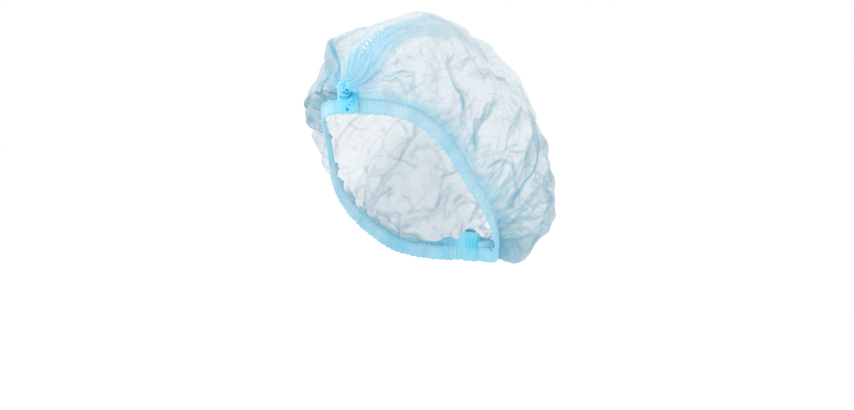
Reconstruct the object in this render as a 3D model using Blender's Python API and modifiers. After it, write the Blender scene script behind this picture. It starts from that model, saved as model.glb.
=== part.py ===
"""A disposable hair cap of thin non-woven cloth, in the shape that it takes when it is worn.

The cap is made from one long pleated strip. Its two ends are pressed together into small tabs,
one over the forehead and one at the nape, and its two long edges are gathered on elastic. Opened
out, the edges become the left and right halves of the headband, and the pleats spread between
the tabs into a loose crown with a full pouch at the back.

Frame: metres, +Z up, the wearer faces -Y, and +X is the wearer's left. The origin is the top of
the wearer's head, where the crown rests.
"""

import bisect
import math

import bmesh
import bpy
import numpy as np
from mathutils import Vector

# The head that fills the cap: from forehead to back, from ear to ear, and from its middle to its top.
HEAD_LENGTH = 0.196
HEAD_WIDTH = 0.152
HEAD_RISE = 0.098

# Cloth of the crown, thicker than the real cloth so that it is a solid wall.
CROWN_WALL = 0.0012
# How far the fullest stretch of the crown swells past the headband.
SIDE_PUFF = 0.030
# Narrow strip of the crown that stands straight up from the headband, and its share of a side's rise.
COLLAR = 0.003
COLLAR_LIFT = 0.025

# Gathered headband: its cloth, its height below the head's top at the forehead, and the drop to the nape.
BAND_WIDTH = 0.013
BAND_THICKNESS = 0.0022
BAND_FRONT_DEPTH = 0.0735
BAND_DROP = 0.131
# How far the end of the headband tucks in beside the rounded side of a tab.
BAND_END_TUCK = 0.0007

# Pressed ends of the strip. TAB_RISE lifts a tab's middle above the middle of the headband.
TAB_WIDTH = 0.021
TAB_HEIGHT = 0.026
TAB_DEPTH = 0.009
TAB_RISE = 0.006
TAB_PLEATS = 9
# Depth of the grooves between pleats and of the pinch across them, as a share of TAB_DEPTH.
TAB_GROOVE = 0.16
TAB_PINCH = 0.30
# Half height of the pinch, as a share of TAB_HEIGHT / 2.
TAB_PINCH_SPAN = 0.28

# Space left between pieces that touch.
GAP = 0.00045

# Mesh divisions.
CROWN_STATIONS = 46
CROWN_ROWS = 18
BAND_STATIONS = 44
BAND_ROWS = 2
TAB_SEGMENTS = 36
TAB_RINGS = 11

# Colours, linear, and roughness of each kind of piece.
CROWN_LOOK = ((0.62, 0.83, 0.92), 0.75)
BAND_LOOK = ((0.40, 0.72, 0.86), 0.70)
TAB_LOOK = ((0.10, 0.55, 0.78), 0.60)

# Route of the headband round one side of the head.
# azimuth: degrees round the head, 0 at the forehead and 180 at the nape.
# girth: distance from the head's axis, as a share of the head's half length and half width.
# drop: height lost since the forehead, as a share of BAND_DROP.
BAND_ROUTE = [
    # azimuth, girth, drop
    (0, 1.000, 0.000),
    (26, 0.970, 0.020),
    (39, 0.967, 0.056),
    (52, 0.945, 0.150),
    (64, 0.945, 0.293),
    (75, 0.975, 0.490),
    (83, 0.982, 0.600),
    (92, 0.950, 0.714),
    (104, 0.880, 0.835),
    (119, 0.825, 0.932),
    (144, 0.785, 0.992),
    (180, 0.796, 1.000),
]

# Cross-sections of the crown, from the front tab to the rear tab. The first and last follow the tabs.
# station: share of the way along the ridge.
# azimuth: where the section leaves the headband, in degrees.
# tilt: direction of its highest point from the head's middle, 0 to the front and 90 straight up.
# reach: distance of that point from the head's middle, as a share of the head's half length and rise.
# puff_left, puff_right: how far the sides swell past the headband, as a share of SIDE_PUFF.
# sag_left, sag_right: how far the swollen sides hang down, as a share of SIDE_PUFF.
CROWN_SECTIONS = [
    # station, azimuth, tilt, reach, puff_left, puff_right, sag_left, sag_right
    (0.000, 7, 26, 1.06, 0.00, 0.00, 0.0, 0.0),
    (0.035, 17, 33, 1.07, 0.10, 0.20, 0.0, 0.1),
    (0.080, 27, 43, 1.08, 0.20, 0.35, 0.0, 0.3),
    (0.130, 38, 55, 1.08, 0.25, 0.60, 0.0, 0.4),
    (0.200, 50, 71, 1.05, 0.30, 0.76, 0.0, 0.5),
    (0.280, 62, 90, 1.05, 0.35, 0.88, 0.0, 0.5),
    (0.380, 73, 113, 1.05, 0.45, 0.90, 0.0, 0.4),
    (0.490, 84, 136, 1.10, 0.60, 0.90, 0.0, 0.3),
    (0.600, 97, 158, 1.18, 0.75, 0.90, 0.1, 0.2),
    (0.710, 112, 180, 1.35, 0.88, 0.90, 0.2, 0.3),
    (0.810, 130, 198, 1.53, 0.92, 0.92, 0.4, 0.4),
    (0.900, 148, 212, 1.57, 0.66, 0.66, 0.5, 0.5),
    (0.965, 163, 222, 1.46, 0.30, 0.30, 0.1, 0.1),
    (1.000, 173, 229, 1.36, 0.00, 0.00, 0.0, 0.0),
]
# Where a side swells most: below 1 leans the swelling down towards the headband.
SWELL_LEAN = 0.55
SWELL_ROUNDNESS = 1.2

# Main folds and dents of the crown, each along a line from one place to another.
# station: as above. rise: 1 at the left headband, 0 at the ridge, -1 at the right headband.
# width: as a share of HEAD_WIDTH. height: outwards, as a share of SIDE_PUFF.
CROWN_FOLDS = [
    # start_station, start_rise, end_station, end_rise, width, height
    (0.03, 0.16, 0.36, 0.20, 0.09, 0.13),
    (0.09, -0.38, 0.20, -0.42, 0.13, 0.30),
    (0.04, -0.36, 0.10, -0.76, 0.08, -0.25),
    (0.09, 0.70, 0.16, 0.73, 0.08, -0.10),
    (0.24, 0.34, 0.29, 0.88, 0.08, -0.20),
    (0.32, 0.55, 0.33, 0.86, 0.08, 0.12),
    (0.40, 0.58, 0.36, 0.93, 0.08, -0.16),
    (0.31, 0.26, 0.37, 0.54, 0.11, -0.38),
    (0.44, 0.86, 0.50, 0.90, 0.08, 0.14),
    (0.52, 0.50, 0.60, 0.93, 0.08, -0.32),
    (0.66, 0.45, 0.72, 0.82, 0.11, 0.12),
    (0.44, -0.42, 0.46, -0.88, 0.09, -0.22),
    (0.62, -0.40, 0.66, -0.90, 0.09, -0.24),
    (0.72, 0.00, 0.92, 0.10, 0.10, -0.16),
]
# Share of a fold's arch left out at each end, so that it fades and doesn't stop.
FOLD_ARCH_END = 0.1
# Where folds fade out: near the headband, as a rise, and near the tabs, as a station.
FOLD_FADE_RISE = 0.15
FOLD_FADE_STATION = 0.04


def smooth_curve(table, column):
    """A smooth curve through a table's column: a function of the place between its rows."""
    places = [row[0] for row in table]
    values = [row[column] for row in table]
    slopes = [float(slope) for slope in np.gradient(values, places)]

    def value(at):
        at = min(max(at, places[0]), places[-1])
        k = min(bisect.bisect_right(places, at) - 1, len(places) - 2)
        step = places[k + 1] - places[k]
        t = (at - places[k]) / step
        ease = t * t * (3 - 2 * t)
        held = values[k] * (1 - ease) + values[k + 1] * ease
        return held + step * t * (1 - t) * (slopes[k] * (1 - t) - slopes[k + 1] * t)

    return value


band_girth = smooth_curve(BAND_ROUTE, 1)
band_drop = smooth_curve(BAND_ROUTE, 2)
crown_azimuth = smooth_curve(CROWN_SECTIONS, 1)
crown_tilt = smooth_curve(CROWN_SECTIONS, 2)
crown_reach = smooth_curve(CROWN_SECTIONS, 3)
crown_puff = {1: smooth_curve(CROWN_SECTIONS, 4), -1: smooth_curve(CROWN_SECTIONS, 5)}
crown_sag = {1: smooth_curve(CROWN_SECTIONS, 6), -1: smooth_curve(CROWN_SECTIONS, 7)}


def band_point(azimuth):
    """Middle of the headband on the wearer's left."""
    girth = band_girth(azimuth)
    turn = math.radians(azimuth)
    return Vector(
        (
            girth * HEAD_WIDTH / 2 * math.sin(turn),
            -girth * HEAD_LENGTH / 2 * math.cos(turn),
            -BAND_FRONT_DEPTH - band_drop(azimuth) * BAND_DROP,
        )
    )


def band_frame(azimuth):
    """The headband's directions at a place: along it, out from the head, and across it upwards."""
    step = 0.5
    along = band_point(min(azimuth + step, 180)) - band_point(max(azimuth - step, 0))
    along.normalize()
    place = band_point(azimuth)
    out = Vector((place.x / HEAD_WIDTH**2, place.y / HEAD_LENGTH**2, 0)).normalized()
    out = (out - along * out.dot(along)).normalized()
    return along, out, out.cross(along)


def azimuth_beside_tab(rear):
    """Where the headband's end meets the side of a tab, in degrees."""
    low, high = (90, 180) if rear else (0, 90)
    wanted = TAB_WIDTH / 2 + GAP - BAND_END_TUCK
    for _ in range(40):
        middle = (low + high) / 2
        beyond = band_point(middle).x > wanted
        if beyond == rear:
            low = middle
        else:
            high = middle
    return low


FRONT_AZIMUTH = azimuth_beside_tab(rear=False)
REAR_AZIMUTH = azimuth_beside_tab(rear=True)
TAB_STATION = CROWN_SECTIONS[1][0]


def tab_centre(rear):
    """Middle of a pressed tab."""
    place = band_point(180 if rear else 0)
    return Vector((0, place.y, place.z + TAB_RISE))


def ridge_point(station):
    """Highest point of a section of the crown, in the plane between the wearer's left and right."""
    tilt = math.radians(crown_tilt(station))
    reach = crown_reach(station)
    free = Vector(
        (
            0,
            -reach * HEAD_LENGTH / 2 * math.cos(tilt),
            (reach * math.sin(tilt) - 1) * HEAD_RISE,
        )
    )
    for rear in (False, True):
        distance = 1 - station if rear else station
        held = max(0.0, 1 - distance / TAB_STATION)
        clearance = GAP + 2 * CROWN_WALL if rear else GAP
        over_tab = tab_centre(rear) + Vector((0, 0, TAB_HEIGHT / 2 + clearance))
        free = free.lerp(over_tab, held)
    return free


def section_azimuth(station):
    """Where a section of the crown leaves the headband."""
    first, last = crown_azimuth(0), crown_azimuth(1)
    share = (crown_azimuth(station) - first) / (last - first)
    return FRONT_AZIMUTH + share * (REAR_AZIMUTH - FRONT_AZIMUTH)


def swell(lift):
    """How a side swells past the headband between the headband, 0, and the ridge, 1."""
    return math.sin(math.pi * lift**SWELL_LEAN) ** SWELL_ROUNDNESS if 0 < lift < 1 else 0.0


def section_point(station, rise):
    """A place on the crown without its folds. rise is 1 at the left headband and -1 at the right."""
    azimuth = section_azimuth(station)
    _, _, up = band_frame(azimuth)
    foot = band_point(azimuth) + up * (BAND_WIDTH / 2 + GAP)
    start = foot + up * COLLAR
    ridge = ridge_point(station)
    side = -1 if rise < 0 else 1
    lift = 1 - abs(rise)
    if lift < COLLAR_LIFT:
        place = foot.lerp(start, lift / COLLAR_LIFT)
        return Vector((side * place.x, place.y, place.z))
    lift = (lift - COLLAR_LIFT) / (1 - COLLAR_LIFT)
    angle = lift * math.pi / 2
    puff = crown_puff[side](station) * SIDE_PUFF * swell(lift)
    sag = crown_sag[side](station) * SIDE_PUFF * swell(lift)
    place = Vector((0, start.y, start.z)).lerp(ridge, math.sin(angle))
    turn = math.radians(azimuth)
    place.x = start.x * math.cos(angle) + puff * math.sin(turn)
    place.y -= puff * math.cos(turn)
    place.z -= sag
    return Vector((side * place.x, place.y, place.z))


def fold_height(station, rise):
    """How far the folds push the crown out at a place."""
    total = 0.0
    here = section_point(station, rise)
    for start_station, start_rise, end_station, end_rise, width, height in CROWN_FOLDS:
        line = np.array((end_station - start_station, end_rise - start_rise))
        offset = np.array((station - start_station, rise - start_rise))
        along = min(max(float(offset @ line / (line @ line)), 0.0), 1.0)
        nearest = section_point(start_station + along * line[0], start_rise + along * line[1])
        spread = (here - nearest).length / (width * HEAD_WIDTH)
        arch = math.sin(math.pi * (FOLD_ARCH_END + (1 - 2 * FOLD_ARCH_END) * along)) ** 0.5
        total += height * SIDE_PUFF * arch * math.exp(-spread * spread)
    return total


def clear_scene():
    for obj in list(bpy.data.objects):
        bpy.data.objects.remove(obj)


def finish(name, bm, look):
    """Makes the object of a piece, with its own material."""
    colour, roughness = look
    mesh = bpy.data.meshes.new(name)
    bm.to_mesh(mesh)
    bm.free()
    mesh.shade_smooth()
    material = bpy.data.materials.new(name)
    material.use_nodes = True
    shader = material.node_tree.nodes["Principled BSDF"]
    shader.inputs["Base Color"].default_value = (*colour, 1)
    shader.inputs["Roughness"].default_value = roughness
    shader.inputs["Metallic"].default_value = 0.0
    mesh.materials.append(material)
    obj = bpy.data.objects.new(name, mesh)
    COLLECTION.objects.link(obj)
    return obj


def grid(columns, rows, place):
    """A sheet of columns by rows faces, whose corners go where place(share along, share across) says."""
    bm = bmesh.new()
    bmesh.ops.create_grid(bm, x_segments=columns, y_segments=rows, size=0.5)
    for vertex in bm.verts:
        vertex.co = place(vertex.co.x + 0.5, vertex.co.y + 0.5)
    return bm


def thicken(obj, thickness, offset):
    """Gives a sheet a wall: offset 1 puts it outside the sheet, and 0 on both sides."""
    wall = obj.modifiers.new("Wall", "SOLIDIFY")
    wall.thickness = thickness
    wall.offset = offset


def crown_rise(share):
    """Spreads the rows of the crown from left to right: the outermost on each side are its collar."""
    row = share * 2 * CROWN_ROWS
    half = min(row, 2 * CROWN_ROWS - row)
    if half <= 1:
        lift = half * COLLAR_LIFT
    else:
        lift = COLLAR_LIFT + (half - 1) / (CROWN_ROWS - 1) * (1 - COLLAR_LIFT)
    return 1 - lift if row <= CROWN_ROWS else lift - 1


def make_crown():
    """The loose cloth over the head, from one headband over the ridge to the other."""
    rows = 2 * CROWN_ROWS
    bm = grid(CROWN_STATIONS, rows, lambda along, across: section_point(along, crown_rise(across)))
    bm.normal_update()
    normals = [vertex.normal.copy() for vertex in bm.verts]
    flat = grid(CROWN_STATIONS, rows, lambda along, across: Vector((along, across, 0)))
    for vertex, normal, share in zip(bm.verts, normals, flat.verts):
        station, rise = share.co.x, crown_rise(share.co.y)
        from_tab = min(station, 1 - station) / FOLD_FADE_STATION
        from_band = (1 - abs(rise)) / FOLD_FADE_RISE
        vertex.co += normal * fold_height(station, rise) * min(1.0, from_tab, from_band)
    flat.free()
    thicken(finish("crown", bm, CROWN_LOOK), CROWN_WALL, 1)


def make_band(name, side):
    """One gathered half of the headband, from the front tab to the rear tab."""

    def place(along, across):
        azimuth = FRONT_AZIMUTH + along * (REAR_AZIMUTH - FRONT_AZIMUTH)
        _, _, up = band_frame(azimuth)
        here = band_point(azimuth) + up * BAND_WIDTH * (across - 0.5)
        return Vector((side * here.x, here.y, here.z))

    thicken(finish(name, grid(BAND_STATIONS, BAND_ROWS, place), BAND_LOOK), BAND_THICKNESS, 0)


def make_tab(name, rear):
    """A pressed end of the strip: a bundle of upright pleats, pinched across its front."""
    bm = bmesh.new()
    bmesh.ops.create_uvsphere(
        bm, u_segments=TAB_SEGMENTS, v_segments=TAB_RINGS, radius=1
    )
    centre = tab_centre(rear)
    for vertex in bm.verts:
        x, y, z = vertex.co
        around = math.atan2(y, x)
        facing = abs(y)
        groove = TAB_GROOVE * facing * (0.5 + 0.5 * math.cos(2 * TAB_PLEATS * around))
        pinch = TAB_PINCH * facing * math.exp(-((z / TAB_PINCH_SPAN) ** 2))
        depth = y * (1 - groove - pinch)
        vertex.co = centre + Vector(
            (x * TAB_WIDTH / 2, depth * TAB_DEPTH / 2, z * TAB_HEIGHT / 2)
        )
    finish(name, bm, TAB_LOOK)


clear_scene()
COLLECTION = bpy.data.collections.new("hair cap")
bpy.context.scene.collection.children.link(COLLECTION)
make_crown()
make_band("band_left", 1)
make_band("band_right", -1)
make_tab("front_tab", rear=False)
make_tab("rear_tab", rear=True)
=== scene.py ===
# %% [markdown]
# A disposable hair cap: one pleated strip of spun-bonded polypropylene, so thin that light and
# the far side show through it. Its long edges are gathered on elastic and become the headband, its
# ends are pressed together at the front and at the back, and the pleats open between them.
# The CAD model is loaded first as a fixed frame. Everything below is made around it, in metres,
# with the origin where the cap rests at its top, +Z up, and the cap's front towards -Y.

# %% Load the frame
import math
import random

import bpy
import numpy as np
from mathutils import Matrix, Vector


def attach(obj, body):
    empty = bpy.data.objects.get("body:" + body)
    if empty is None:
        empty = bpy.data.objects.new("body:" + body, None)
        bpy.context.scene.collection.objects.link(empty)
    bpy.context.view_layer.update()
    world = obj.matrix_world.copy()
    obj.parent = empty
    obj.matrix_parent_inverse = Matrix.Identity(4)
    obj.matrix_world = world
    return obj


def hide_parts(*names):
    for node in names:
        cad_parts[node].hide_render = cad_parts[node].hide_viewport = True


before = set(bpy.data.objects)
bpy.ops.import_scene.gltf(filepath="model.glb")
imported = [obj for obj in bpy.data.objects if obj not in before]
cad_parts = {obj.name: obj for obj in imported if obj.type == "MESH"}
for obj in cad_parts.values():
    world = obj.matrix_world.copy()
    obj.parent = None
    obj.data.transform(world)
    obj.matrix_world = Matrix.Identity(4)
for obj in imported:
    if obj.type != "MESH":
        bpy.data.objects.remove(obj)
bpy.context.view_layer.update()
scene = bpy.context.scene
print("CAD nodes:", sorted(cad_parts))

# %% [markdown]
# The photograph looks at the cap from the wearer's front left, a little from above. One pixel is
# 0.85 mm at the cap. A camera 1.5 m away then needs a long lens, which keeps the shapes flat and
# true, as a product photographer would. The picture is 854 by 410 pixels.

# %% Camera
PICTURE_WIDTH, PICTURE_HEIGHT, PIXEL = 854, 410, 0.00085
AZIMUTH, ELEVATION, DISTANCE = math.radians(35.5), math.radians(3.0), 1.5
SENSOR_MM, FAR_CLIP = 36, 20
# Where the origin lies in the picture.
ORIGIN_PIXEL = (419, 19)


def new_object(name, data):
    """A new object in the scene, at the origin."""
    obj = bpy.data.objects.new(name, data)
    scene.collection.objects.link(obj)
    return obj


level = math.cos(ELEVATION)
towards = Vector((math.sin(AZIMUTH) * level, -math.cos(AZIMUTH) * level, math.sin(ELEVATION)))
rightwards = Vector((math.cos(AZIMUTH), math.sin(AZIMUTH), 0))
upwards = towards.cross(rightwards)
aim = (PICTURE_WIDTH / 2 - ORIGIN_PIXEL[0]) * PIXEL * rightwards
aim -= (PICTURE_HEIGHT / 2 - ORIGIN_PIXEL[1]) * PIXEL * upwards

camera = new_object("camera", bpy.data.cameras.new("camera"))
camera.data.sensor_width = SENSOR_MM
camera.data.lens = SENSOR_MM * DISTANCE / (PICTURE_WIDTH * PIXEL)
camera.data.clip_end = FAR_CLIP
facing = Matrix((rightwards, upwards, towards)).transposed().to_4x4()
camera.matrix_world = Matrix.Translation(aim + towards * DISTANCE) @ facing
scene.camera = camera
print("lens:", round(camera.data.lens, 1), "mm")

# %% [markdown]
# A few small helpers serve every material. One turns the hex colour that a picture editor shows
# into the linear colour that a shader wants, and the others add nodes, set them and link them.

# %% Colour and node helpers


def linear(code):
    """An sRGB hex colour as linear red, green and blue, and a full alpha."""
    parts = [int(code[i : i + 2], 16) / 255 for i in (1, 3, 5)]
    return (*(p / 12.92 if p <= 0.04045 else ((p + 0.055) / 1.055) ** 2.4 for p in parts), 1.0)


def feed(node, **inputs):
    """Sets inputs of a node, by name, with _ for a space, or by number, as i0. Each is given a
    value, or the socket or the node to link from."""
    for name, value in inputs.items():
        key = int(name[1:]) if name[1:].isdigit() else name.replace("_", " ")
        if isinstance(value, bpy.types.Node):
            value = value.outputs[0]
        if isinstance(value, bpy.types.NodeSocket):
            node.id_data.links.new(value, node.inputs[key])
        else:
            node.inputs[key].default_value = value
    return node


def add(tree, kind, settings=(), **inputs):
    """A new node with its settings and its inputs."""
    node = tree.nodes.new(kind)
    for name, value in dict(settings).items():
        setattr(node, name, value)
    return feed(node, **inputs)


def new_material(name):
    """A new material and its shader node."""
    material = bpy.data.materials.new(name)
    material.use_nodes = True
    return material, material.node_tree.nodes["Principled BSDF"]


# %% [markdown]
# The floor and the background are white paper, lit so that they stay white. Soft light from all
# round does most of the work, because it passes through the cloth from behind as well. One large
# lamp from the upper left gives the creases their light and dark sides.

# %% Floor and light
FLOOR_HEIGHT, FLOOR_HALF_WIDTH = -0.33, 8.0
WHITE, PAPER_GREY, PAPER_GLOW = "#FFFFFF", "#6D6D6D", 0.87
# The camera sees pure white, and the cap is lit by a little less, so that its lamp can shape it.
AMBIENT = 0.93
LAMP_PLACE, LAMP_AIM = Vector((-0.9, -1.1, 1.3)), Vector((0, 0, -0.1))
LAMP_SIZE, LAMP_POWER = 0.5, 13

paper, shader = new_material("white_background_paper")
feed(shader, Base_Color=linear(PAPER_GREY), Roughness=1.0, Specular_IOR_Level=0.0)
# The far end of the paper has its own lamp, which this glow stands for.
feed(shader, Emission_Color=linear(WHITE), Emission_Strength=PAPER_GLOW)
floor_mesh = bpy.data.meshes.new("paper_floor")
corners = [(x, y, FLOOR_HEIGHT) for x, y in ((-1, -1), (1, -1), (1, 1), (-1, 1))]
corners = [(x * FLOOR_HALF_WIDTH, y * FLOOR_HALF_WIDTH, z) for x, y, z in corners]
floor_mesh.from_pydata(corners, [], [(0, 1, 2, 3)])
floor_mesh.materials.append(paper)
floor = new_object("paper_floor", floor_mesh)

world = bpy.data.worlds.new("white_studio")
scene.world = world
world.use_nodes = True
seen = add(world.node_tree, "ShaderNodeLightPath").outputs["Is Camera Ray"]
glow = add(world.node_tree, "ShaderNodeMapRange", Value=seen, To_Min=AMBIENT, To_Max=1.0)
feed(world.node_tree.nodes["Background"], Color=linear(WHITE), Strength=glow)
scene.view_settings.view_transform = "Standard"

lamp = new_object("key_lamp", bpy.data.lights.new("key_lamp", "AREA"))
lamp.data.size, lamp.data.energy = LAMP_SIZE, LAMP_POWER
lamp.location = LAMP_PLACE
lamp.rotation_euler = (LAMP_AIM - LAMP_PLACE).to_track_quat("-Z", "Y").to_euler()

# %% [markdown]
# The cap's measures are those of the CAD model, written once here. The headband runs round each
# side from the front tab to the rear tab. The crown is a row of cross-sections, each an arch from
# one headband over the ridge to the other.

# %% Measures
HEAD_LENGTH, HEAD_WIDTH, HEAD_RISE = 0.196, 0.152, 0.098
SIDE_PUFF, COLLAR, COLLAR_LIFT = 0.030, 0.003, 0.025
BAND_WIDTH, BAND_THICKNESS = 0.013, 0.0022
BAND_FRONT_DEPTH, BAND_DROP, BAND_END_TUCK = 0.0735, 0.131, 0.0007
TAB_WIDTH, TAB_HEIGHT, TAB_DEPTH, TAB_RISE = 0.021, 0.026, 0.009, 0.006
CROWN_WALL, GAP = 0.0012, 0.00045
# How far the crown's hem goes down inside the headband, and the headband's ends behind the tabs.
HEM_TUCK, END_TUCK = 0.0035, 0.004

BAND_ROUTE = [
    # azimuth, girth, drop
    (0, 1.000, 0.000),
    (26, 0.970, 0.020),
    (39, 0.967, 0.056),
    (52, 0.945, 0.150),
    (64, 0.945, 0.293),
    (75, 0.975, 0.490),
    (83, 0.982, 0.600),
    (92, 0.950, 0.714),
    (104, 0.880, 0.835),
    (119, 0.825, 0.932),
    (144, 0.785, 0.992),
    (180, 0.796, 1.000),
]
CROWN_SECTIONS = [
    # station, azimuth, tilt, reach, puff_left, puff_right, sag_left, sag_right
    (0.000, 7, 26, 1.06, 0.00, 0.00, 0.0, 0.0),
    (0.035, 17, 33, 1.07, 0.10, 0.20, 0.0, 0.1),
    (0.080, 27, 43, 1.08, 0.20, 0.35, 0.0, 0.3),
    (0.130, 38, 55, 1.08, 0.25, 0.60, 0.0, 0.4),
    (0.200, 50, 71, 1.05, 0.30, 0.76, 0.0, 0.5),
    (0.280, 62, 90, 1.05, 0.35, 0.88, 0.0, 0.5),
    (0.380, 73, 113, 1.05, 0.45, 0.90, 0.0, 0.4),
    (0.490, 84, 136, 1.10, 0.60, 0.90, 0.0, 0.3),
    (0.600, 97, 158, 1.18, 0.75, 0.90, 0.1, 0.2),
    (0.710, 112, 180, 1.35, 0.88, 0.90, 0.2, 0.3),
    (0.810, 130, 198, 1.53, 0.92, 0.92, 0.4, 0.4),
    (0.900, 148, 212, 1.57, 0.66, 0.66, 0.5, 0.5),
    (0.965, 163, 222, 1.46, 0.30, 0.30, 0.1, 0.1),
    (1.000, 173, 229, 1.36, 0.00, 0.00, 0.0, 0.0),
]
SWELL_LEAN, SWELL_ROUNDNESS = 0.55, 1.2


def smooth_curve(table, column):
    """A smooth curve through a table's column, for arrays of places."""
    places = np.array([row[0] for row in table], float)
    values = np.array([row[column] for row in table], float)
    slopes = np.gradient(values, places)

    def value(at):
        at = np.clip(at, places[0], places[-1])
        k = np.clip(np.searchsorted(places, at, side="right") - 1, 0, len(places) - 2)
        step = places[k + 1] - places[k]
        t = (at - places[k]) / step
        ease = t * t * (3 - 2 * t)
        held = values[k] * (1 - ease) + values[k + 1] * ease
        return held + step * t * (1 - t) * (slopes[k] * (1 - t) - slopes[k + 1] * t)

    return value


band_girth, band_drop = smooth_curve(BAND_ROUTE, 1), smooth_curve(BAND_ROUTE, 2)
section = [smooth_curve(CROWN_SECTIONS, column) for column in range(1, 8)]
section_azimuth, section_tilt, section_reach = section[:3]
puff = {1: section[3], -1: section[4]}
sag = {1: section[5], -1: section[6]}

# %% The headband's route
ROUTE_SAMPLES, FRAME_STEP = 3601, 0.5


def joined(*parts):
    """The parts of vectors, such as x, y and z, put together along a last axis."""
    return np.stack(np.broadcast_arrays(*parts), axis=-1)


def unit(vectors):
    """The same directions, each with length 1."""
    return vectors / np.maximum(np.linalg.norm(vectors, axis=-1, keepdims=True), 1e-12)


def way_along(points):
    """How far each point of a line is from the first, along the line."""
    return np.concatenate(((0,), np.linalg.norm(np.diff(points, axis=0), axis=1).cumsum()))


def band_point(azimuth):
    """Middle of the headband on the wearer's left."""
    turn, girth = np.radians(azimuth), band_girth(azimuth)
    return joined(
        girth * HEAD_WIDTH / 2 * np.sin(turn),
        -girth * HEAD_LENGTH / 2 * np.cos(turn),
        -BAND_FRONT_DEPTH - band_drop(azimuth) * BAND_DROP,
    )


def band_frame(azimuth):
    """The headband's directions: along it, out from the cap, and across it upwards."""
    before, after = np.maximum(azimuth - FRAME_STEP, 0), np.minimum(azimuth + FRAME_STEP, 180)
    along = unit(band_point(after) - band_point(before))
    place = band_point(azimuth)
    out = unit(joined(place[..., 0] / HEAD_WIDTH**2, place[..., 1] / HEAD_LENGTH**2, 0.0))
    out = unit(out - along * (out * along).sum(-1, keepdims=True))
    return along, out, np.cross(out, along)


def tab_centre(rear):
    """Middle of the front tab or the rear tab."""
    place = band_point(180.0 if rear else 0.0)
    return np.array((0.0, place[1], place[2] + TAB_RISE))


sampled_azimuths = np.linspace(0, 180, ROUTE_SAMPLES)
sampled_route = band_point(sampled_azimuths)
beside_tab = TAB_WIDTH / 2 + GAP - BAND_END_TUCK
clear_of_tabs = sampled_azimuths[sampled_route[:, 0] > beside_tab]
FRONT_AZIMUTH, REAR_AZIMUTH = clear_of_tabs[0], clear_of_tabs[-1]
print("half of the headband:", round(way_along(sampled_route)[-1] * 1000), "mm")

# %% The crown's smooth form


def ridge_point(station):
    """Highest point of a section of the crown."""
    tilt, reach = np.radians(section_tilt(station)), section_reach(station)
    place = joined(
        0.0, -reach * HEAD_LENGTH / 2 * np.cos(tilt), (reach * np.sin(tilt) - 1) * HEAD_RISE
    )
    for rear in (False, True):
        distance = 1 - station if rear else station
        held = np.maximum(0, 1 - distance / CROWN_SECTIONS[1][0])[..., None]
        clearance = GAP + 2 * CROWN_WALL if rear else GAP
        over_tab = tab_centre(rear) + (0, 0, TAB_HEIGHT / 2 + clearance)
        place = place * (1 - held) + over_tab * held
    return place


def crown_point(station, rise):
    """A place on the smooth crown. rise is 1 at the left headband and -1 at the right one."""
    station, rise = np.broadcast_arrays(np.asarray(station, float), np.asarray(rise, float))
    first, last = section_azimuth(0.0), section_azimuth(1.0)
    share = (section_azimuth(station) - first) / (last - first)
    azimuth = FRONT_AZIMUTH + share * (REAR_AZIMUTH - FRONT_AZIMUTH)
    up = band_frame(azimuth)[2]
    foot = band_point(azimuth) + up * (BAND_WIDTH / 2 + GAP)
    start = foot + up * COLLAR
    side = np.where(rise < 0, -1, 1)
    lift = 1 - np.abs(rise)
    in_collar = lift < COLLAR_LIFT
    hem = foot - up * HEM_TUCK
    collar = hem + (start - hem) * (lift / COLLAR_LIFT)[..., None]
    lift = np.clip((lift - COLLAR_LIFT) / (1 - COLLAR_LIFT), 0, 1)
    angle = lift * math.pi / 2
    swell = np.sin(math.pi * lift**SWELL_LEAN).clip(0) ** SWELL_ROUNDNESS * SIDE_PUFF
    out = np.where(side > 0, puff[1](station), puff[-1](station)) * swell
    down = np.where(side > 0, sag[1](station), sag[-1](station)) * swell
    ridge, rising, turn = ridge_point(station), np.sin(angle), np.radians(azimuth)
    arch = joined(
        start[..., 0] * np.cos(angle) + out * np.sin(turn),
        start[..., 1] * (1 - rising) + ridge[..., 1] * rising - out * np.cos(turn),
        start[..., 2] * (1 - rising) + ridge[..., 2] * rising - down,
    )
    place = np.where(in_collar[..., None], collar, arch)
    return place * joined(side, 1.0, 1.0)


# %% [markdown]
# A sheet of cloth starts as a grid of points, so one helper makes the mesh from the grid, with a UV
# map in metres on the flat cloth, and a number at each point that says how many layers of cloth
# lie pressed together there. Folds in this cloth are blue because more layers colour the light. In
# the tabs' grooves and along the widest crease at the back the number also holds painted shade.

# %% Sheets from grids


def grid_object(name, points, layers, flat, closed=False, gathered=None):
    """A mesh from a grid of points. flat is the UV place of each point, in metres."""
    columns, rows = points.shape[:2]
    index = np.arange(columns * rows).reshape(columns, rows)
    if closed:
        index = np.hstack((index, index[:, :1]))
    faces = np.stack((index[:-1, :-1], index[1:, :-1], index[1:, 1:], index[:-1, 1:]), -1)
    faces = faces.reshape(-1, 4)
    mesh = bpy.data.meshes.new(name)
    mesh.vertices.add(columns * rows)
    mesh.vertices.foreach_set("co", points.reshape(-1).astype(np.float32))
    mesh.loops.add(faces.size)
    mesh.loops.foreach_set("vertex_index", faces.reshape(-1).astype(np.int32))
    mesh.polygons.add(len(faces))
    mesh.polygons.foreach_set("loop_start", np.arange(0, faces.size, 4, dtype=np.int32))
    mesh.update(calc_edges=True)
    uv = mesh.uv_layers.new(name="cloth_metres")
    uv.data.foreach_set("uv", flat.reshape(-1, 2)[faces.reshape(-1)].reshape(-1).astype(np.float32))
    for label, values in (("layers", layers), ("gathered", gathered)):
        if values is not None:
            attribute = mesh.attributes.new(label, "FLOAT", "POINT")
            attribute.data.foreach_set("value", values.reshape(-1).astype(np.float32))
    mesh.shade_smooth()
    print(name, len(mesh.polygons), "faces")
    return new_object(name, mesh)


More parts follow.
